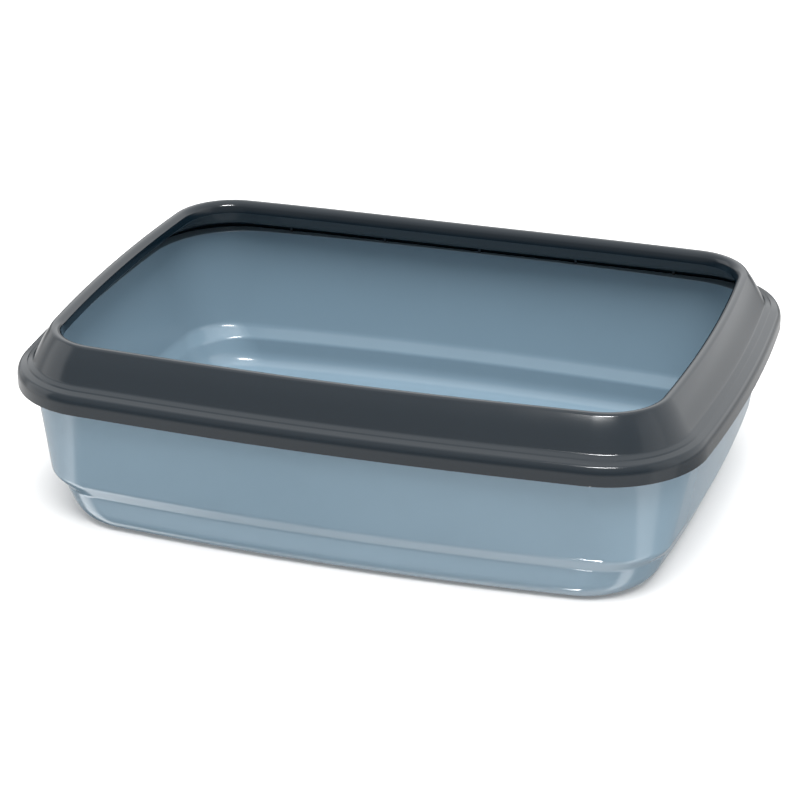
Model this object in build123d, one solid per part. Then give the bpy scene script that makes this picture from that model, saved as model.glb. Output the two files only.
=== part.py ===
from build123d import *
import math
import os

# Open litter tray in two mouldings, in millimetres. The basin stands on its flat base and steps in
# low down. The rim snaps over the basin's flange and leans inwards to keep the litter in.
# The origin is the middle of the base, +X runs along the length and +Z is up.
# "Inset" is always the distance inwards from the outer face of the rim's skirt.

# Overall size
length = 500.0
width = 355.0
height = 140.0

# Plan of the rim: four bowed sides joined by rounded corners
corner_radius = 70.0
long_side_turn = 2.5          # degrees that half of a long side turns through
short_side_turn = 4.8         # degrees that half of a short side turns through

# Rim, in section
rim_wall = 2.0
skirt_top_drop = 28.2         # crest down to where the ledge's slope would meet the skirt's face
skirt_foot_drop = 40.0        # crest down to the skirt's lower edge
skirt_edge_radius = 3.0
crease_inset = 12.1           # foot of the sloping face, where the ledge starts
crease_drop = 22.2
crease_radius = 4.0
crest_inset = 26.5            # the crest's highest line
crest_radius = 6.3
lip_depth = 2.3               # straight part of the lip below the rounded crest

# How the rim sits on the basin
seat_drop = 31.0              # crest down to the top of the basin's flange
seat_rib_thickness = 1.8
seat_rib_reach = 6.2          # inset of the ribs' inner edge
long_side_ribs = 5
short_side_ribs = 3
long_rib_pitch = 76.0
short_rib_pitch = 84.0
flange_gap = 0.8              # between the flange's edge and the skirt
snap_gap = 0.3                # between the flange's edge and the snap beads
snap_drop = 0.5               # between the flange's underside and the snap beads
snap_height = 3.0
snap_length = 34.0
snap_pitch = 220.0            # between the two beads of a long side

# Basin
basin_wall = 2.5
floor_thickness = 2.5
flange_thickness = 2.5
basin_long_side_turn = 4.8
basin_short_side_turn = 4.1
mouth_end_inset = 8.3         # the wall's outer face at the flange, at the short sides
mouth_side_inset = 4.2        # the same at the long sides
mouth_corner_radius = 73.0
wall_draft = 10.4             # degrees that the upper wall leans in
step_height = 34.8            # base up to the top of the step
step_drop = 8.8
step_end_inset = 5.2
step_side_inset = 2.8
step_corner_radius = 42.0
step_edge_reach = 5.3         # how far the rounding of the step's top edge runs along each face
foot_corner_radius = 47.0
foot_edge_reach = 1.6         # the same for the edge at the step's foot
base_end_taper = 10.0         # how far the lower wall leans in at the short sides
base_side_taper = 1.9         # the same at the long sides
base_corner_radius = 50.5
base_edge_reach = 14.5        # how far the rounding of the base's edge runs along each face

seat_height = height - seat_drop
flange_inset = rim_wall + flange_gap
embed = rim_wall / 2          # how far a rib or bead is rooted in the wall that carries it
rounding_steps = 5            # flats that stand for one rounded edge of the basin


def plan_arcs(half_length, half_width, radius, long_turn, short_turn):
    """The closed outline as (centre x, centre y, radius, start angle, end angle), anticlockwise."""
    long_sine = math.sin(math.radians(long_turn))
    long_rise = 1 - math.cos(math.radians(long_turn))
    short_sine = math.sin(math.radians(short_turn))
    short_rise = 1 - math.cos(math.radians(short_turn))
    span = half_length - radius
    depth = half_width - radius
    scale = long_sine * short_sine - long_rise * short_rise
    long_extra = (span * short_sine - depth * short_rise) / scale
    short_extra = (depth * long_sine - span * long_rise) / scale
    corner_x = long_extra * long_sine
    corner_y = short_extra * short_sine
    end_x = span - short_extra
    side_y = depth - long_extra
    short_radius = short_extra + radius
    long_radius = long_extra + radius
    return [
        (end_x, 0, short_radius, -short_turn, short_turn),
        (corner_x, corner_y, radius, short_turn, 90 - long_turn),
        (0, side_y, long_radius, 90 - long_turn, 90 + long_turn),
        (-corner_x, corner_y, radius, 90 + long_turn, 180 - short_turn),
        (-end_x, 0, short_radius, 180 - short_turn, 180 + short_turn),
        (-corner_x, -corner_y, radius, 180 + short_turn, 270 - long_turn),
        (0, -side_y, long_radius, 270 - long_turn, 270 + long_turn),
        (corner_x, -corner_y, radius, 270 + long_turn, 360 - short_turn),
    ]


def plan_wire(arcs, z):
    """The closed outline as a wire at one height."""
    return Wire([CenterArc((x, y, z), radius, start, end - start) for x, y, radius, start, end in arcs])


def rim_plan(inset):
    """The rim's outline at one inset."""
    return plan_arcs(length / 2 - inset, width / 2 - inset, corner_radius - inset, long_side_turn, short_side_turn)


def basin_plan(end_inset, side_inset, radius):
    """The basin's outline, which is bowed more than the rim's."""
    half_length = length / 2 - end_inset
    half_width = width / 2 - side_inset
    return plan_arcs(half_length, half_width, radius, basin_long_side_turn, basin_short_side_turn)


# Basin ------------------------------------------------------------------------------------------

def basin_levels(floor):
    """The basin's outer face down to the floor's height: (height, end inset, side inset, corner radius)."""
    lean = (seat_height - step_height) * math.tan(math.radians(wall_draft))
    step_end = mouth_end_inset + lean
    step_side = mouth_side_inset + lean
    foot_height = step_height - step_drop
    foot_end = step_end + step_end_inset
    foot_side = step_side + step_side_inset
    share = (foot_height - floor) / foot_height
    base_end = foot_end + base_end_taper * share
    base_side = foot_side + base_side_taper * share
    base_radius = foot_corner_radius + (base_corner_radius - foot_corner_radius) * share
    return [
        (seat_height, mouth_end_inset, mouth_side_inset, mouth_corner_radius),
        (step_height, step_end, step_side, step_corner_radius),
        (foot_height, foot_end, foot_side, foot_corner_radius),
        (floor, base_end, base_side, base_radius),
        (floor, base_end + base_edge_reach, base_side + base_edge_reach, base_radius - base_edge_reach),
    ]


def between(start, end, share):
    """The level at a share of the way from one level to another."""
    return tuple(a + (b - a) * share for a, b in zip(start, end))


def rounded(levels, reaches):
    """The same levels with each inner one replaced by a smooth bend that starts a reach before it."""
    bent = [levels[0]]
    for before, level, after, reach in zip(levels, levels[1:], levels[2:], reaches):
        start = between(level, before, reach / math.dist(level[:2], before[:2]))
        end = between(level, after, reach / math.dist(level[:2], after[:2]))
        for step in range(rounding_steps + 1):
            share = step / rounding_steps
            bent.append(between(between(start, level, share), between(level, end, share), share))
    return bent


def basin_body(wall, floor):
    """The solid inside the basin's outer face, or inside its inner face where a wall is given."""
    levels = rounded(basin_levels(floor), [step_edge_reach, foot_edge_reach, base_edge_reach])
    wires = [plan_wire(basin_plan(end + wall, side + wall, radius - wall), z) for z, end, side, radius in levels]
    return Solid.make_loft(wires, ruled=True)


def make_basin():
    """Drafted and stepped walls, a flat floor and a narrow flange round the mouth."""
    outer = basin_body(0, 0)
    flange_foot = Face(plan_wire(rim_plan(flange_inset), seat_height - flange_thickness))
    flange = extrude(flange_foot, flange_thickness, dir=(0, 0, 1))
    inner = basin_body(basin_wall, floor_thickness)
    return (outer + flange) - inner


# Rim --------------------------------------------------------------------------------------------

def rim_outline():
    """Corner points of the rim's outer face as (inset, height), from the lip over the crest to the skirt."""
    crest_height = height - crest_radius
    crease_height = height - crease_drop
    run = crest_inset - crease_inset
    rise = crest_height - crease_height
    slope = math.atan2(rise, run) + math.asin(crest_radius / math.hypot(run, rise))
    lip_inset = crest_inset + crest_radius
    peak = crease_height + (lip_inset - crease_inset) * math.tan(slope)
    return [
        (lip_inset, crest_height - lip_depth),
        (lip_inset, peak),
        (crease_inset, crease_height),
        (0, height - skirt_top_drop),
        (0, height - skirt_foot_drop),
    ]


def inner_outline(points):
    """The corner points of the line one wall inside the outline."""
    runs = []
    for (x0, z0), (x1, z1) in zip(points, points[1:]):
        share = rim_wall / math.hypot(x1 - x0, z1 - z0)
        start = (x0 - (z1 - z0) * share, z0 + (x1 - x0) * share)
        runs.append((start, (x1 - x0, z1 - z0)))
    inner = [runs[0][0]]
    for ((x0, z0), (u0, w0)), ((x1, z1), (u1, w1)) in zip(runs, runs[1:]):
        reach = ((x1 - x0) * w1 - (z1 - z0) * u1) / (u0 * w1 - w0 * u1)
        inner.append((x0 + u0 * reach, z0 + w0 * reach))
    (x, z), (u, w) = runs[-1]
    return inner + [(x + u, z + w)]


def arc_plane(arc, angle):
    """The upright plane through an arc's centre, with its x axis pointing out at the angle."""
    out = (math.cos(math.radians(angle)), math.sin(math.radians(angle)), 0)
    return Plane(origin=(arc[0], arc[1], 0), x_dir=out, z_dir=(out[1], -out[0], 0))


def arc_points(arc, points):
    """Section points given as (inset, height), as distances from the arc's centre."""
    return [(arc[2] - inset, z) for inset, z in points]


def swept(arc, face, start, turn):
    """A section swept about an arc's centre, from the start angle through the turn."""
    centre = Axis((arc[0], arc[1], 0), (0, 0, 1))
    return revolve(arc_plane(arc, start) * face, axis=centre, revolution_arc=turn)


def rim_shell(arc):
    """The stretch of the rim's sheet that follows one arc of the plan."""
    outer_points = arc_points(arc, rim_outline())
    inner_points = arc_points(arc, inner_outline(rim_outline()))
    outer = FilletPolyline(*outer_points, radius=[crest_radius, crease_radius, skirt_edge_radius])
    inner_radii = [crest_radius - rim_wall, crease_radius + rim_wall, skirt_edge_radius - rim_wall]
    inner = FilletPolyline(*inner_points, radius=inner_radii)
    ends = [Line(outer_points[0], inner_points[0]), Line(outer_points[-1], inner_points[-1])]
    section = Face(Wire(outer.edges() + inner.edges() + ends))
    return swept(arc, section, arc[3], arc[4] - arc[3])


def seat_rib(arc, angle):
    """A short upright web under the ledge whose flat foot stands on the basin's flange."""
    crease, skirt_top = [between(a, b, 0.5) for a, b in list(zip(rim_outline(), inner_outline(rim_outline())))[2:4]]
    top = between(skirt_top, crease, (seat_rib_reach - skirt_top[0]) / (crease[0] - skirt_top[0]))
    corners = [(skirt_top[0], seat_height), (seat_rib_reach, seat_height), top, skirt_top]
    web = make_face(Polyline(*arc_points(arc, corners), close=True))
    return extrude(arc_plane(arc, angle) * web, seat_rib_thickness / 2, both=True)


def snap_bead(arc, angle):
    """A bead inside the skirt that lies under the flange's edge."""
    top = seat_height - flange_thickness - snap_drop
    tip = rim_wall + flange_gap - snap_gap
    corners = [(embed, top), (tip, top), (tip, top - snap_height / 3), (embed, top - snap_height)]
    turn = math.degrees(snap_length / arc[2])
    bead = make_face(Polyline(*arc_points(arc, corners), close=True))
    return swept(arc, bead, angle - turn / 2, turn)


def spaced(arc, count, pitch):
    """The angles of a row of places along an arc, centred on its middle."""
    middle = (arc[3] + arc[4]) / 2
    step = math.degrees(pitch / arc[2])
    return [middle + step * (index - (count - 1) / 2) for index in range(count)]


def make_rim():
    """One sheet that follows the plan all round, with its seat ribs and snap beads."""
    arcs = rim_plan(0)
    pieces = [rim_shell(arc) for arc in arcs]
    for end in (arcs[0], arcs[4]):
        pieces += [seat_rib(end, angle) for angle in spaced(end, short_side_ribs, short_rib_pitch)]
        pieces += [snap_bead(end, angle) for angle in spaced(end, 1, snap_pitch)]
    for side in (arcs[2], arcs[6]):
        pieces += [seat_rib(side, angle) for angle in spaced(side, long_side_ribs, long_rib_pitch)]
        pieces += [snap_bead(side, angle) for angle in spaced(side, 2, snap_pitch)]
    return Part() + pieces


os.makedirs("parts", exist_ok=True)
export_step(make_basin(), "parts/basin.step")
export_step(make_rim(), "parts/rim.step")
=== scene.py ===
import bpy
import math
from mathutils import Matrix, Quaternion, Vector


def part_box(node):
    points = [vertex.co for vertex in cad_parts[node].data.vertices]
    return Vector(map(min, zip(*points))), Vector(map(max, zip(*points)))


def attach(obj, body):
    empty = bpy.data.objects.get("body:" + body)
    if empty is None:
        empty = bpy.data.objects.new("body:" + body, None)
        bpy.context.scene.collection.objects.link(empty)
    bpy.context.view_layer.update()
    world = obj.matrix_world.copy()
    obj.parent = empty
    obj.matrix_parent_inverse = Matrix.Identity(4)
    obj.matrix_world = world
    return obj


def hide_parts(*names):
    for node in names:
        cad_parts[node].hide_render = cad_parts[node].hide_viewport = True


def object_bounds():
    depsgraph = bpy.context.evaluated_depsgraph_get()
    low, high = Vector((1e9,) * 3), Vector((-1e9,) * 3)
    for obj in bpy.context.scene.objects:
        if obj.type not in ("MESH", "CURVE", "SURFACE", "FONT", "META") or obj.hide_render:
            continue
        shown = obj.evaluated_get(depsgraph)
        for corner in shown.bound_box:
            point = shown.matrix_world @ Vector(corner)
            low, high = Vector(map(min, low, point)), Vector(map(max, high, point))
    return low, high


# An open litter tray in two mouldings, in metres: first the basin, then the rim that clips over its
# flange, and last the floor, the lamps and the camera. +X runs along the length and +Z is up.
# "Inset" is always the distance inwards from the outer face of the rim's skirt.

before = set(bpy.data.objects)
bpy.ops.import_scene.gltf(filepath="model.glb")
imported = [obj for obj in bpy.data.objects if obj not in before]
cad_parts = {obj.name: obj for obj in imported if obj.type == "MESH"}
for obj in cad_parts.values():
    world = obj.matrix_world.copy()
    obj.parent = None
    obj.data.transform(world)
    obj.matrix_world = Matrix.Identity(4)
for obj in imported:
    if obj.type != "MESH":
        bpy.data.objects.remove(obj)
packed_low, packed_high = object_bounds()


# Basin ------------------------------------------------------------------------------------------
# One injection moulding in glossy blue-grey polypropylene, 2.5 mm thick. Its drafted walls step in
# low down to the flat base that it stands on, and a narrow flange round the mouth carries the rim.

half_length = packed_high.x
half_width = packed_high.y
seat_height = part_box("basin")[1].z
basin_wall = 0.0025
flange_thickness = 0.0025
flange_inset = 0.0028
rim_corner_radius = 0.070
rim_turns = (math.radians(2.5), math.radians(4.8))       # half of a long side, half of a short side
basin_turns = (math.radians(4.8), math.radians(4.1))
mouth_insets = (0.0083, 0.0042)                          # at the short sides, at the long sides
mouth_corner_radius = 0.073
wall_draft = math.radians(10.4)
step_height = 0.0348
step_drop = 0.0092
step_insets = (0.0052, 0.0048)
step_corner_radius = 0.042
step_edge_reach = 0.0026
foot_corner_radius = 0.047
foot_edge_reach = 0.0016
base_tapers = (0.0100, 0.0005)
base_corner_radius = 0.0505
base_edge_reach = 0.0145
flange_edge_reach = 0.0005
side_steps = 28
corner_steps = 40
bend_steps = 12
ring_spacing = 0.005
flat_shares = (0.985, 0.93, 0.75, 0.5, 0.25)             # how big the rings on the flat bottom are
long_side_sag = 0.0013                                   # the long sides hang a little in the middle
sag_reach = 0.88                                         # where the sag ends along the length
sag_edge = (0.55, 0.80)                                  # between where it sets in across the width
basin_colour = (0.140, 0.203, 0.252)
basin_roughness = 0.16
basin_clouding = 0.02
basin_ripple = (0.045, 0.00012)                          # length and depth
plastic_ior = 1.49
gloss_spread = 0.12                                      # how uneven the gloss is, of the roughness
cloud_scale, cloud_detail = 9.0, 3.0
smudge_scale, smudge_detail = 34.0, 4.0
ripple_detail, ripple_fineness = 1.0, 0.35
noise_range = (0.3, 0.7)                                 # what the noises mostly run between


def side_extras(span, depth, turns):
    """By how much the radii of the long and the short sides are larger than the corners' radius."""
    long_sine, short_sine = (math.sin(turn) for turn in turns)
    long_rise, short_rise = (1 - math.cos(turn) for turn in turns)
    scale = long_sine * short_sine - long_rise * short_rise
    return ((span * short_sine - depth * short_rise) / scale,
            (depth * long_sine - span * long_rise) / scale)


def bowed_outline(length, width, radius, turns):
    """Points round four bowed sides and four round corners that meet smoothly, anticlockwise."""
    span = length - radius
    depth = width - radius
    long_extra, short_extra = side_extras(span, depth, turns)
    corner = (long_extra * math.sin(turns[0]), short_extra * math.sin(turns[1]))
    quarter = math.pi / 2
    points = []
    for side in range(4):
        turn, other = (turns[1], turns[0]) if side % 2 == 0 else turns
        extra = short_extra if side % 2 == 0 else long_extra
        reach = (span if side % 2 == 0 else depth) - extra
        heading = side * quarter
        centre = (reach * math.cos(heading), reach * math.sin(heading))
        points += arc_points(centre, extra + radius, heading - turn, heading + turn, side_steps)
        signs = ((1, 1), (-1, 1), (-1, -1), (1, -1))[side]
        centre = (corner[0] * signs[0], corner[1] * signs[1])
        points += arc_points(centre, radius, heading + turn, heading + quarter - other, corner_steps)
    return points


def arc_points(centre, radius, start, end, steps):
    """Points along an arc, without its last one."""
    angles = [start + (end - start) * step / steps for step in range(steps)]
    return [(centre[0] + radius * math.cos(a), centre[1] + radius * math.sin(a)) for a in angles]


def blend_levels(start, end, share):
    """The level at a share of the way from one level to another."""
    return tuple(a + (b - a) * share for a, b in zip(start, end))


def level_gap(start, end):
    """The distance between two levels along the wall, seen in section at a short side."""
    return math.dist(start[:2], end[:2])


def level_path(corners):
    """Levels along a wall given as (level, reach): each corner becomes a smooth bend of that reach."""
    path = [corners[0][0]]
    for (before, _), (level, reach), (after, _) in zip(corners, corners[1:], corners[2:]):
        start = blend_levels(level, before, reach / level_gap(level, before))
        end = blend_levels(level, after, reach / level_gap(level, after))
        path += spread_levels(path[-1], start)
        for step in range(1, bend_steps + 1):
            share = step / bend_steps
            near = blend_levels(start, level, share)
            path.append(blend_levels(near, blend_levels(level, end, share), share))
    return path + spread_levels(path[-1], corners[-1][0])


def spread_levels(start, end):
    """Levels at even distances between two levels, with the second one last."""
    count = max(1, round(level_gap(start, end) / ring_spacing))
    return [blend_levels(start, end, step / count) for step in range(1, count + 1)]


def smooth_share(value, start, end):
    """Goes smoothly from 0 at the start to 1 at the end."""
    share = min(1, max(0, (value - start) / (end - start)))
    return share * share * (3 - 2 * share)


def side_sag(x, y):
    """How far the edge hangs down at a place on the plan."""
    along = 1 - smooth_share(abs(x), 0, sag_reach * half_length)
    across = smooth_share(abs(y), sag_edge[0] * half_width, sag_edge[1] * half_width)
    return long_side_sag * along * across


def basin_face(wall, base):
    """Corners of the basin's outer face, or of its inner face where a wall is given, from the base up."""
    lean = (seat_height - step_height) * math.tan(wall_draft)
    step = [inset + lean for inset in mouth_insets]
    foot = [inset + extra for inset, extra in zip(step, step_insets)]
    foot_height = step_height - step_drop
    share = (foot_height - base) / foot_height
    edge = [inset + taper * share for inset, taper in zip(foot, base_tapers)]
    edge_radius = foot_corner_radius + (base_corner_radius - foot_corner_radius) * share
    flat = [inset + base_edge_reach for inset in edge]
    levels = [
        ((base, *flat, edge_radius - base_edge_reach), 0),
        ((base, *edge, edge_radius), base_edge_reach),
        ((foot_height, *foot, foot_corner_radius), foot_edge_reach),
        ((step_height, *step, step_corner_radius), step_edge_reach),
        ((seat_height, *mouth_insets, mouth_corner_radius), flange_edge_reach),
    ]
    return [((z, end + wall, side + wall, radius - wall, *basin_turns), reach)
            for (z, end, side, radius), reach in levels]


def basin_levels():
    """Levels from the middle of the base, up the outer face, round the flange and down inside."""
    outer = basin_face(0, 0)
    inner = basin_face(basin_wall, basin_wall)
    step, top = outer[-2][0], outer[-1][0]
    under_share = flange_thickness / (seat_height - step_height)
    under = blend_levels(top, step, under_share)
    edge = (flange_inset, flange_inset, rim_corner_radius - flange_inset, *rim_turns)
    flange = [
        (under, flange_edge_reach),
        ((seat_height - flange_thickness, *edge), flange_edge_reach),
        ((seat_height, *edge), flange_edge_reach),
    ]
    return level_path(outer[:-1] + flange + inner[::-1])


def ring_of(level):
    """The points of one level."""
    height, end_inset, side_inset, radius, *turns = level
    outline = bowed_outline(half_length - end_inset, half_width - side_inset, radius, turns)
    share = (height / seat_height) ** 2
    return [(x, y, height - side_sag(x, y) * share) for x, y in outline]


def shrunk(ring, share):
    """A ring drawn in towards its middle, for a flat bottom."""
    return [(x * share, y * share, z) for x, y, z in ring]


def basin_mesh():
    """The closed skin of the basin."""
    rings = [ring_of(level) for level in basin_levels()]
    base = [shrunk(rings[0], share) for share in reversed(flat_shares)]
    floor = [shrunk(rings[-1], share) for share in flat_shares]
    rings = base + rings + floor
    count = len(rings[0])
    faces = [list(range(count))[::-1]]
    for row in range(len(rings) - 1):
        for k in range(count):
            a, b = row * count + k, row * count + (k + 1) % count
            faces.append((a, b, b + count, a + count))
    faces.append([len(rings) * count - count + k for k in range(count)])
    mesh = bpy.data.meshes.new("basin")
    mesh.from_pydata([point for ring in rings for point in ring], [], faces)
    mesh.shade_smooth()
    return mesh


def feed_node(tree, node, feeds):
    """Feeds a node's inputs with values or with other nodes' outputs."""
    for socket, value in feeds.items():
        if isinstance(value, bpy.types.NodeSocket):
            tree.links.new(value, node.inputs[socket])
        else:
            node.inputs[socket].default_value = value


def add_node(tree, kind, feeds=(), **settings):
    """A new node with its settings and its inputs fed."""
    node = tree.nodes.new(kind)
    for name, value in settings.items():
        setattr(node, name, value)
    feed_node(tree, node, dict(feeds))
    return node


def sums_in(tree):
    """A function that adds a Math node to the tree, feeds it and gives back its output."""
    def math_of(operation, *values):
        return add_node(tree, "ShaderNodeMath", dict(enumerate(values)), operation=operation).outputs[0]
    return math_of


def mottling(group, place, scale, detail):
    """Noise that runs from about -1 to 1."""
    noise = add_node(group, "ShaderNodeTexNoise", {"Vector": place, "Scale": scale, "Detail": detail})
    spread = add_node(group, "ShaderNodeMapRange",
                      {"Value": noise.outputs["Fac"], "From Min": noise_range[0],
                       "From Max": noise_range[1], "To Min": -1.0, "To Max": 1.0})
    return spread.outputs["Result"]


def moulded_surface():
    """What a polished mould leaves on a part: faint clouds in the colour, uneven gloss and ripples."""
    group = bpy.data.node_groups.new("moulded surface", "ShaderNodeTree")
    inputs = {"Colour": "Color", "Clouding": "Float", "Roughness": "Float", "Gloss Spread": "Float",
              "Ripple Length": "Float"}
    for name, kind in inputs.items():
        group.interface.new_socket(name, in_out="INPUT", socket_type=f"NodeSocket{kind}")
    for name, kind in {"Colour": "Color", "Roughness": "Float", "Ripple": "Float"}.items():
        group.interface.new_socket(name, in_out="OUTPUT", socket_type=f"NodeSocket{kind}")
    given = add_node(group, "NodeGroupInput").outputs
    place = add_node(group, "ShaderNodeTexCoord").outputs["Object"]
    math_of = sums_in(group)
    clouds = mottling(group, place, cloud_scale, cloud_detail)
    shade = math_of("MULTIPLY_ADD", clouds, given["Clouding"], 1.0)
    colour = add_node(group, "ShaderNodeVectorMath", {0: given["Colour"], "Scale": shade}, operation="SCALE")
    smudges = mottling(group, place, smudge_scale, smudge_detail)
    gloss = math_of("MULTIPLY_ADD", smudges, given["Gloss Spread"], given["Roughness"])
    ripple = add_node(group, "ShaderNodeTexNoise",
                      {"Vector": place, "Scale": math_of("DIVIDE", 1.0, given["Ripple Length"]),
                       "Detail": ripple_detail, "Roughness": ripple_fineness})
    add_node(group, "NodeGroupOutput", {"Colour": colour.outputs[0], "Roughness": gloss,
                                        "Ripple": ripple.outputs["Fac"]})
    return group


def plastic(name, group, colour, roughness, clouding, ripple):
    """A solid-coloured moulded plastic with a glossy surface."""
    ripple_length, ripple_depth = ripple
    material = bpy.data.materials.new(name)
    material.use_nodes = True
    tree = material.node_tree
    shader = tree.nodes["Principled BSDF"]
    shader.inputs["IOR"].default_value = plastic_ior
    surface = add_node(tree, "ShaderNodeGroup", node_tree=group)
    values = {"Colour": (*colour, 1), "Clouding": clouding, "Roughness": roughness,
              "Gloss Spread": roughness * gloss_spread, "Ripple Length": ripple_length}
    for socket, value in values.items():
        surface.inputs[socket].default_value = value
    bump = add_node(tree, "ShaderNodeBump", {"Height": surface.outputs["Ripple"], "Strength": 1.0,
                                             "Distance": ripple_depth})
    tree.links.new(surface.outputs["Colour"], shader.inputs["Base Color"])
    tree.links.new(surface.outputs["Roughness"], shader.inputs["Roughness"])
    tree.links.new(bump.outputs["Normal"], shader.inputs["Normal"])
    return material


surface_group = moulded_surface()
basin = bpy.data.objects.new("basin_moulding", basin_mesh())
bpy.context.scene.collection.objects.link(basin)
basin.data.materials.append(plastic("blue grey polypropylene", surface_group, basin_colour,
                                    basin_roughness, basin_clouding, basin_ripple))
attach(basin, "basin")
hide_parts("basin")


# Rim --------------------------------------------------------------------------------------------
# One injection moulding in anthracite polypropylene, 2 mm thick. Its section runs all round: a leaning
# lip inside the mouth, a round crest, a steep slope, a ledge and a skirt. It clips on over the flange,
# stands on it with small ribs and is held by low beads under its edge.

rim_wall = 0.0020
rim_height = packed_high.z
lip_inset = 0.0316
lip_lean = 0.0018
lip_foot = rim_height - 0.0086
lip_radius = 0.0050
crest_corner = (0.0254, rim_height)
crest_radius = 0.0030
shoulder_corner = (0.0206, rim_height - 0.0065)
shoulder_radius = 0.090
crease_corner = (0.0117, rim_height - 0.0231)
crease_radius = 0.0028
crease_place = 4                                         # its place in the outline, counted from 0
ledge_line_inset = 0.0080
ledge_line_width = 0.0008
ledge_line_depth = 0.0005
ledge_line_radius = 0.0009
ledge_edge = (0.0025, rim_height - 0.0262)
ledge_edge_radius = 0.0023
skirt_top = (0, rim_height - 0.0295)
skirt_top_radius = 0.0097
skirt_foot = (0, rim_height - 0.0400)
cut_edge_radius = 0.0004
arc_step = math.radians(6)
rib_thickness = 0.0018
rib_reach = 0.0052
long_side_ribs, long_rib_pitch = 5, 0.076
short_side_ribs, short_rib_pitch = 3, 0.084
snap_gap = 0.0003
snap_drop = 0.0005
snap_height = 0.0030
snap_length = 0.034
long_side_snaps, short_side_snaps = 2, 1
snap_pitch = 0.220
rim_colour = (0.002, 0.006, 0.010)
rim_roughness = 0.14
rim_clouding = 0.03
rim_ripple = (0.04, 0.00006)                             # length and depth


def rim_outline():
    """Corners of the rim's outer face as (inset, height), from the lip over the crest to the skirt."""
    lip = [(lip_inset + lip_lean, lip_foot), (lip_inset, rim_height)]
    return lip + [crest_corner, shoulder_corner, crease_corner, ledge_edge, skirt_top, skirt_foot]


def ledge_line():
    """The two corners of the faint line along the ledge, where it drops by a hair."""
    fall = (crease_corner[1] - ledge_edge[1]) / (crease_corner[0] - ledge_edge[0])
    upper = (ledge_line_inset, ledge_edge[1] + (ledge_line_inset - ledge_edge[0]) * fall)
    lower = (upper[0] - ledge_line_width, upper[1] - ledge_line_width * fall - ledge_line_depth)
    return [(upper, ledge_line_radius), (lower, ledge_line_radius)]


def inner_outline(points):
    """The corners of the line one wall inside the outline."""
    runs = []
    for (x0, z0), (x1, z1) in zip(points, points[1:]):
        share = rim_wall / math.dist((x0, z0), (x1, z1))
        runs.append(((x0 - (z1 - z0) * share, z0 + (x1 - x0) * share), (x1 - x0, z1 - z0)))
    inner = [runs[0][0]]
    for ((x0, z0), (u0, w0)), ((x1, z1), (u1, w1)) in zip(runs, runs[1:]):
        reach = ((x1 - x0) * w1 - (z1 - z0) * u1) / (u0 * w1 - w0 * u1)
        inner.append((x0 + u0 * reach, z0 + w0 * reach))
    (x, z), (u, w) = runs[-1]
    return inner + [(x + u, z + w)]


def rounded_section(corners):
    """A closed section given as (corner, radius), with an arc in place of each corner."""
    points = []
    for k, (corner, radius) in enumerate(corners):
        here = Vector(corner)
        back = (Vector(corners[k - 1][0]) - here).normalized()
        on = (Vector(corners[(k + 1) % len(corners)][0]) - here).normalized()
        half = back.angle(on) / 2
        middle = here + (back + on).normalized() * radius / math.sin(half)
        start = here + back * radius / math.tan(half) - middle
        turn = (math.pi - 2 * half) * (1 if back.cross(on) < 0 else -1)
        steps = max(3, round(abs(turn) / arc_step))
        for step in range(steps + 1):
            angle = turn * step / steps
            sine, cosine = math.sin(angle), math.cos(angle)
            points.append((middle.x + start.x * cosine - start.y * sine,
                           middle.y + start.x * sine + start.y * cosine))
    return points


def spread_points(points):
    """The same closed line with long runs cut up."""
    spread = []
    for start, end in zip(points, points[1:] + points[:1]):
        count = max(1, round(math.dist(start, end) / (ring_spacing / 2)))
        spread += [tuple(a + (b - a) * k / count for a, b in zip(start, end)) for k in range(count)]
    return spread


def curve_object(name, points):
    """A closed curve through the points, for Geometry Nodes to follow."""
    curve = bpy.data.curves.new(name, "CURVE")
    curve.dimensions = "3D"
    spline = curve.splines.new("POLY")
    spline.points.add(len(points) - 1)
    for target, point in zip(spline.points, points):
        target.co = (*point, 1)
    spline.use_cyclic_u = True
    made = bpy.data.objects.new(name, curve)
    bpy.context.scene.collection.objects.link(made)
    return made


def section_curve():
    """The rim's section, drawn outwards along X and downwards along Y."""
    face = rim_outline()
    radii = (cut_edge_radius, lip_radius, crest_radius, shoulder_radius, crease_radius, ledge_edge_radius,
             skirt_top_radius, cut_edge_radius)
    outer = list(zip(face, radii))
    outer[crease_place + 1:crease_place + 1] = ledge_line()
    inner_radii = [max(cut_edge_radius, radius - rim_wall) for radius in radii]
    inner_radii[crease_place] = crease_radius + rim_wall
    inner = list(zip(inner_outline(face), inner_radii))
    points = spread_points(rounded_section(outer + inner[::-1]))
    return curve_object("rim_section", [(-inset, -height, 0) for inset, height in points])


def prism_object(name, corners, thickness):
    """A small solid with its outline in the XZ plane and its thickness along Y."""
    count = len(corners)
    points = [(-inset, side * thickness / 2, height) for side in (-1, 1) for inset, height in corners]
    faces = [list(range(count)), list(range(count, 2 * count))[::-1]]
    faces += [(k, k + count, (k + 1) % count + count, (k + 1) % count) for k in range(count)]
    mesh = bpy.data.meshes.new(name)
    mesh.from_pydata(points, [], faces)
    made = bpy.data.objects.new(name, mesh)
    bpy.context.scene.collection.objects.link(made)
    return made


def middle_point(first, second, share=0.5):
    """The point at a share of the way between two points."""
    return tuple(a + (b - a) * share for a, b in zip(first, second))


def seat_rib():
    """A short upright web under the ledge whose flat foot stands on the basin's flange."""
    pairs = list(zip(rim_outline(), inner_outline(rim_outline())))
    crease, edge, skirt = (middle_point(*pair) for pair in pairs[crease_place:crease_place + 3])
    top = middle_point(edge, crease, (rib_reach - edge[0]) / (crease[0] - edge[0]))
    corners = [(skirt[0], seat_height), (rib_reach, seat_height), top, edge, skirt]
    return prism_object("seat_rib", corners, rib_thickness)


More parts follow.
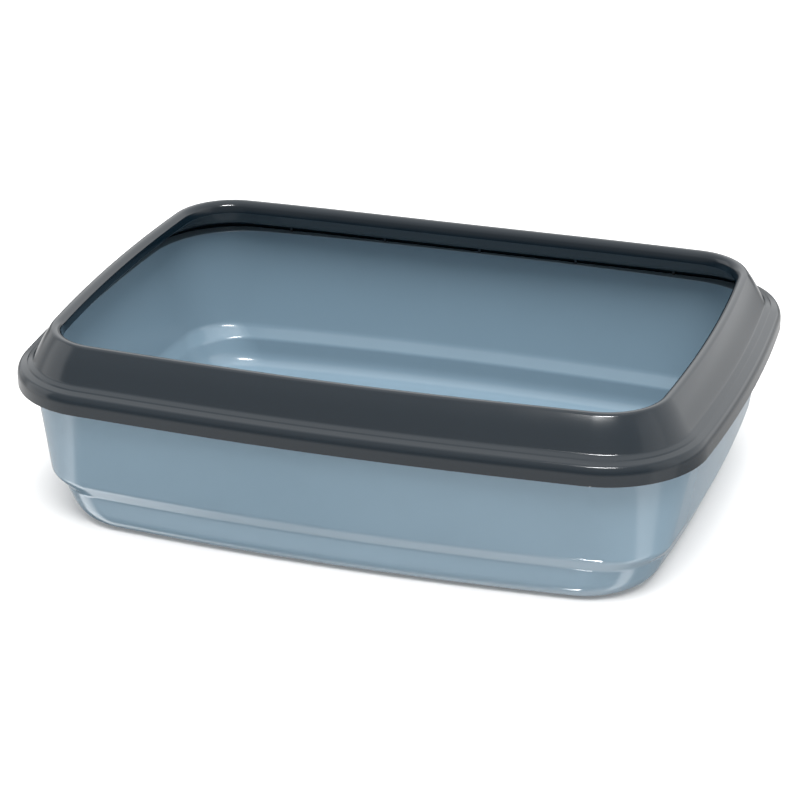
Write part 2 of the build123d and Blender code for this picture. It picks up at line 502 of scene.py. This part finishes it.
def snap_bead():
    """A bead inside the skirt that lies under the flange's edge."""
    top = seat_height - flange_thickness - snap_drop
    root = rim_wall / 2
    tip = flange_inset - snap_gap
    corners = [(root, top), (tip, top), (tip, top - snap_height / 3), (root, top - snap_height)]
    return prism_object("snap_bead", corners[::-1], snap_length)


def tree_with(name, inputs, output):
    """An empty Geometry Nodes tree with named inputs and one geometry output."""
    tree = bpy.data.node_groups.new(name, "GeometryNodeTree")
    for label, kind in inputs.items():
        tree.interface.new_socket(label, in_out="INPUT", socket_type=f"NodeSocket{kind}")
    tree.interface.new_socket(output, in_out="OUTPUT", socket_type="NodeSocketGeometry")
    return tree


def side_row_tree():
    """Copies of a piece in a row along one bowed side, each facing out from the side's centre."""
    tree = tree_with("row along a side", {"Piece": "Object", "Count": "Int", "Pitch": "Float",
                     "Side Radius": "Float", "Side Face": "Float", "Heading": "Float"}, "Row")
    given = add_node(tree, "NodeGroupInput").outputs
    index = add_node(tree, "GeometryNodeInputIndex").outputs[0]
    math_of = sums_in(tree)
    last = math_of("SUBTRACT", given["Count"], 1.0)
    from_middle = math_of("SUBTRACT", index, math_of("MULTIPLY", last, 0.5))
    step = math_of("DIVIDE", given["Pitch"], given["Side Radius"])
    angle = math_of("MULTIPLY_ADD", from_middle, step, given["Heading"])
    setback = math_of("SUBTRACT", given["Side Face"], given["Side Radius"])
    centre_x = math_of("MULTIPLY", setback, math_of("COSINE", given["Heading"]))
    centre_y = math_of("MULTIPLY", setback, math_of("SINE", given["Heading"]))
    x = math_of("MULTIPLY_ADD", given["Side Radius"], math_of("COSINE", angle), centre_x)
    y = math_of("MULTIPLY_ADD", given["Side Radius"], math_of("SINE", angle), centre_y)
    place = add_node(tree, "ShaderNodeCombineXYZ", {"X": x, "Y": y})
    turn = add_node(tree, "ShaderNodeCombineXYZ", {"Z": angle})
    points = add_node(tree, "GeometryNodePoints", {"Count": given["Count"], "Position": place.outputs[0]})
    piece = add_node(tree, "GeometryNodeObjectInfo", {"Object": given["Piece"]})
    copies = add_node(tree, "GeometryNodeInstanceOnPoints",
                      {"Points": points.outputs[0], "Instance": piece.outputs["Geometry"],
                       "Rotation": turn.outputs[0]})
    add_node(tree, "NodeGroupOutput", {0: copies.outputs[0]})
    return tree


def smooth_range(tree, value, start, end, low=0.0, high=1.0):
    """A value that goes smoothly from low at the start to high at the end."""
    feeds = {"Value": value, "From Min": start, "From Max": end, "To Min": low, "To Max": high}
    return add_node(tree, "ShaderNodeMapRange", feeds, interpolation_type="SMOOTHSTEP").outputs["Result"]


def rim_tree(row_tree):
    """The section swept round the plan, with rows of seat ribs and snap beads, and hanging long sides."""
    tree = tree_with("rim moulding", {"Plan": "Geometry", "Section": "Object", "Rib": "Object",
                     "Bead": "Object", "Long Side Radius": "Float", "Short Side Radius": "Float",
                     "Half Length": "Float", "Half Width": "Float", "Long Side Ribs": "Int",
                     "Short Side Ribs": "Int", "Long Rib Pitch": "Float", "Short Rib Pitch": "Float",
                     "Long Side Beads": "Int", "Short Side Beads": "Int", "Bead Pitch": "Float",
                     "Sag": "Float", "Material": "Material"}, "Rim")
    given = add_node(tree, "NodeGroupInput").outputs
    section = add_node(tree, "GeometryNodeObjectInfo", {"Object": given["Section"]})
    sheet = add_node(tree, "GeometryNodeCurveToMesh",
                     {"Curve": given["Plan"], "Profile Curve": section.outputs["Geometry"]})
    smooth = add_node(tree, "GeometryNodeSetShadeSmooth", {"Geometry": sheet.outputs[0]})
    joined = add_node(tree, "GeometryNodeJoinGeometry", {"Geometry": smooth.outputs[0]})
    for side in range(4):
        kind, face = ("Short", "Half Length") if side % 2 == 0 else ("Long", "Half Width")
        rows = (("Rib", given[f"{kind} Side Ribs"], given[f"{kind} Rib Pitch"]),
                ("Bead", given[f"{kind} Side Beads"], given["Bead Pitch"]))
        for piece, count, pitch in rows:
            row = add_node(tree, "GeometryNodeGroup", node_tree=row_tree)
            feeds = {"Piece": given[piece], "Count": count, "Pitch": pitch, "Side Face": given[face],
                     "Side Radius": given[f"{kind} Side Radius"], "Heading": side * math.pi / 2}
            feed_node(tree, row, feeds)
            tree.links.new(row.outputs[0], joined.inputs[0])
    whole = add_node(tree, "GeometryNodeRealizeInstances", {"Geometry": joined.outputs[0]})
    place = add_node(tree, "ShaderNodeSeparateXYZ",
                     {"Vector": add_node(tree, "GeometryNodeInputPosition").outputs[0]})
    math_of = sums_in(tree)
    along = smooth_range(tree, math_of("ABSOLUTE", place.outputs["X"]), 0.0,
                         math_of("MULTIPLY", given["Half Length"], sag_reach), low=1.0, high=0.0)
    across = smooth_range(tree, math_of("ABSOLUTE", place.outputs["Y"]),
                          math_of("MULTIPLY", given["Half Width"], sag_edge[0]),
                          math_of("MULTIPLY", given["Half Width"], sag_edge[1]))
    drop = math_of("MULTIPLY", math_of("MULTIPLY", along, across), math_of("MULTIPLY", given["Sag"], -1.0))
    hung = add_node(tree, "GeometryNodeSetPosition",
                    {"Geometry": whole.outputs[0],
                     "Offset": add_node(tree, "ShaderNodeCombineXYZ", {"Z": drop}).outputs[0]})
    coloured = add_node(tree, "GeometryNodeSetMaterial",
                        {"Geometry": hung.outputs[0], "Material": given["Material"]})
    add_node(tree, "NodeGroupOutput", {0: coloured.outputs[0]})
    return tree


def baked(carrier, name, tree, values):
    """The plain mesh object that the tree makes out of the carrier, which is then removed with its tools."""
    modifier = carrier.modifiers.new(name, "NODES")
    modifier.node_group = tree
    for item in tree.interface.items_tree:
        if item.name in values and item.in_out == "INPUT":
            modifier[item.identifier] = values[item.name]
    seen = carrier.evaluated_get(bpy.context.evaluated_depsgraph_get())
    made = bpy.data.objects.new(name, bpy.data.meshes.new_from_object(seen))
    made.data.name = name
    bpy.context.scene.collection.objects.link(made)
    for tool in [carrier] + [value for value in values.values() if isinstance(value, bpy.types.Object)]:
        bpy.data.objects.remove(tool)
    return made


def side_radii():
    """The radii of the rim's long and short sides, at the skirt's face."""
    extras = side_extras(half_length - rim_corner_radius, half_width - rim_corner_radius, rim_turns)
    return [extra + rim_corner_radius for extra in extras]


rim_plan = bowed_outline(half_length, half_width, rim_corner_radius, rim_turns)
long_radius, short_radius = side_radii()
anthracite = plastic("anthracite polypropylene", surface_group, rim_colour, rim_roughness, rim_clouding,
                     rim_ripple)
rim = baked(curve_object("rim_plan", [(x, y, 0) for x, y in rim_plan]), "rim_moulding",
            rim_tree(side_row_tree()),
            {"Section": section_curve(), "Rib": seat_rib(), "Bead": snap_bead(),
             "Long Side Radius": long_radius, "Short Side Radius": short_radius,
             "Half Length": half_length, "Half Width": half_width,
             "Long Side Ribs": long_side_ribs, "Short Side Ribs": short_side_ribs,
             "Long Rib Pitch": long_rib_pitch, "Short Rib Pitch": short_rib_pitch,
             "Long Side Beads": long_side_snaps, "Short Side Beads": short_side_snaps,
             "Bead Pitch": snap_pitch, "Sag": long_side_sag, "Material": anthracite})
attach(rim, "rim")
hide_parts("rim")


# Floor, lamps and camera ------------------------------------------------------------------------
# The tray stands on a plain white floor in soft light from above. The studio round it is white, dimmer
# by the camera, with a pale panel at each end. Two small lamps give the glints on the edges.

floor_size = 16.0
floor_drop = 0.0002
floor_grey = 0.56
floor_glow = 0.12
floor_roughness = 0.9
floor_sheen = 0.1
lamp_distance = 1.15
lamp_aim = Vector((0, 0, 0.07))

# The studio's brightness as (elevation, level), in degrees, towards its front and towards its back.
front_levels = ((-90, 2.6), (-70, 2.6), (-54, 0.9), (-22, 1.45), (-6, 0.6),
                (4, 0.55), (24, 0.9), (50, 1.15), (70, 1.6), (90, 1.8))
back_levels = ((-60, 0.3), (-32, 0.4), (-22, 0.85), (-8, 0.85), (2, 1.9), (25, 1.9), (50, 1.75), (90, 1.8))
back_azimuth = 165
back_fade = (-0.5, 0.9)                                  # cosines of the angle from the back

# Where its panels and patches fade in (from, to) and, on the other side, (from, to) again, in degrees:
# azimuths for the panels, elevations for the rest.
right_panel_edges = (62.0, 66.0, 99.0, 95.0)
left_panel_edges = (-58.0, -66.0, -104.0, -92.0)
left_side_edges = (-8.0, -34.0, -150.0, -120.0)
gap_azimuth = -161
gap_fade = (0.75, 0.94)                                  # cosines of the angle from the gap's middle
gap_edges = (-14.0, -5.0, 17.0, 9.0)
table_edges = (-32.0, -42.0, -78.0, -66.0)
left_table_fade = (-69.0, -57.0)
wall_fade = (45.0, 30.0)
low_wall_fade = (-20.0, -5.0)


def floor_sheet():
    """A wide flat white sheet just under the tray."""
    half = floor_size / 2
    mesh = bpy.data.meshes.new("floor")
    mesh.from_pydata([(-half, -half, -floor_drop), (half, -half, -floor_drop), (half, half, -floor_drop),
                      (-half, half, -floor_drop)], [], [(0, 1, 2, 3)])
    sheet = bpy.data.objects.new("floor", mesh)
    material = bpy.data.materials.new("white floor")
    material.use_nodes = True
    shader = material.node_tree.nodes["Principled BSDF"]
    shader.inputs["Base Color"].default_value = (floor_grey, floor_grey, floor_grey, 1)
    shader.inputs["Roughness"].default_value = floor_roughness
    shader.inputs["Specular IOR Level"].default_value = floor_sheen
    shader.inputs["Emission Color"].default_value = (1, 1, 1, 1)
    shader.inputs["Emission Strength"].default_value = floor_glow
    mesh.materials.append(material)
    bpy.context.scene.collection.objects.link(sheet)
    sheet.visible_glossy = False


def direction(azimuth, elevation):
    """The unit vector towards an azimuth from -Y, turning to +X, and an elevation, in degrees."""
    a, e = math.radians(azimuth), math.radians(elevation)
    return Vector((math.sin(a) * math.cos(e), -math.cos(a) * math.cos(e), math.sin(e)))


def lamp(name, azimuth, elevation, size, power):
    """An oval lamp that faces the tray and shows on it only as a glint."""
    data = bpy.data.lights.new(name, "AREA")
    data.shape = "ELLIPSE"
    data.size, data.size_y = size
    data.energy = power
    made = bpy.data.objects.new(name, data)
    towards = direction(azimuth, elevation)
    made.location = towards * lamp_distance + lamp_aim
    made.rotation_mode = "QUATERNION"
    made.rotation_quaternion = towards.to_track_quat("Z", "Y")
    made.visible_diffuse = False
    bpy.context.scene.collection.objects.link(made)


def sky_light(name, azimuth, elevation, spread, strength):
    """Even light from a wide part of the ceiling, too soft to be seen as a reflection."""
    data = bpy.data.lights.new(name, "SUN")
    data.angle = math.radians(spread)
    data.energy = strength
    made = bpy.data.objects.new(name, data)
    made.rotation_mode = "QUATERNION"
    made.rotation_quaternion = direction(azimuth, elevation).to_track_quat("Z", "Y")
    made.visible_glossy = False
    bpy.context.scene.collection.objects.link(made)


def level_ramp(tree, elevation, levels):
    """Brightness by elevation in degrees, blended between the levels given."""
    share = add_node(tree, "ShaderNodeMapRange", {"Value": elevation, "From Min": -90.0, "From Max": 90.0})
    node = add_node(tree, "ShaderNodeValToRGB", {"Fac": share.outputs["Result"]})
    elements = node.color_ramp.elements
    while len(elements) < len(levels):
        elements.new(0.5)
    for element, (angle, brightness) in zip(elements, levels):
        element.position = (angle + 90) / 180
        element.color = (brightness, brightness, brightness, 1)
    return node.outputs["Color"]


def studio_world():
    """The studio round the tray: a pale table below, dim by the camera, white walls behind."""
    world = bpy.data.worlds.new("studio")
    world.use_nodes = True
    tree = world.node_tree
    tree.nodes.clear()
    view = add_node(tree, "ShaderNodeTexCoord").outputs["Generated"]
    part = add_node(tree, "ShaderNodeSeparateXYZ", {0: view}).outputs
    math_of = sums_in(tree)

    def band(value, edges):
        """1 inside a band, fading to 0 across the edges on its two sides."""
        return math_of("MULTIPLY", smooth_range(tree, value, *edges[:2]),
                       smooth_range(tree, value, *edges[2:]))

    def closeness(bearing, fade):
        """1 near a bearing on the horizon, fading to 0 away from it."""
        cosine = add_node(tree, "ShaderNodeVectorMath", {0: view, 1: direction(bearing, 0)},
                          operation="DOT_PRODUCT")
        return smooth_range(tree, cosine.outputs["Value"], *fade)

    elevation = math_of("MULTIPLY", math_of("ARCSINE", part["Z"]), 180 / math.pi)
    azimuth = math_of("MULTIPLY", math_of("ARCTAN2", part["X"], math_of("MULTIPLY", part["Y"], -1.0)),
                      180 / math.pi)
    room = add_node(tree, "ShaderNodeMix", {0: closeness(back_azimuth, back_fade)}, data_type="RGBA")
    room_front, room_back, level = room.inputs[6], room.inputs[7], room.outputs[2]     # its colours
    tree.links.new(level_ramp(tree, elevation, front_levels), room_front)
    tree.links.new(level_ramp(tree, elevation, back_levels), room_back)
    right_panel = band(azimuth, right_panel_edges)
    left_panel = band(azimuth, left_panel_edges)
    left_side = band(azimuth, left_side_edges)
    table = band(elevation, table_edges)
    left_table = math_of("MULTIPLY", table, smooth_range(tree, elevation, *left_table_fade))
    wall = smooth_range(tree, elevation, *wall_fade)
    low_wall = math_of("MULTIPLY", wall, smooth_range(tree, elevation, *low_wall_fade))
    changes = (                                          # the place, the height, how much brighter
        (right_panel, table, 2.5),
        (right_panel, wall, 0.3),
        (left_panel, left_table, 4.2),
        (left_panel, low_wall, 1.0),
        (left_side, table, -0.7),
        (closeness(gap_azimuth, gap_fade), band(elevation, gap_edges), -1.2),
    )
    for place, height, change in changes:
        level = math_of("MULTIPLY_ADD", math_of("MULTIPLY", place, height), change, level)
    background = add_node(tree, "ShaderNodeBackground", {"Color": (1, 1, 1, 1)})
    tree.links.new(level, background.inputs["Strength"])
    add_node(tree, "ShaderNodeOutputWorld", {"Surface": background.outputs[0]})
    bpy.context.scene.world = world


floor_sheet()
studio_world()
sky_light("ceiling_light", azimuth=30, elevation=68, spread=40, strength=5.0)
lamp("key_lamp", azimuth=19, elevation=46.6, size=(0.52, 0.07), power=13)
lamp("low_lamp", azimuth=7.6, elevation=-52, size=(0.10, 0.15), power=15)

camera_azimuth = 19.452
camera_elevation = 24.642
camera_roll = math.radians(-0.906)
camera_distance = 2.0405
camera_aim = Vector((-0.0004, -0.0131, 0.0659))
camera_lens = 129.31                                     # millimetres, like the film's width
camera_film = 36

camera = bpy.data.objects.new("camera", bpy.data.cameras.new("camera"))
camera.data.lens = camera_lens
camera.data.sensor_width = camera_film
camera_side = direction(camera_azimuth, camera_elevation)
camera.location = camera_aim + camera_side * camera_distance
camera.rotation_mode = "QUATERNION"
camera.rotation_quaternion = camera_side.to_track_quat("Z", "Y") @ Quaternion((0, 0, 1), camera_roll)
bpy.context.scene.collection.objects.link(camera)
bpy.context.scene.camera = camera
bpy.context.scene.view_settings.view_transform = "Standard"
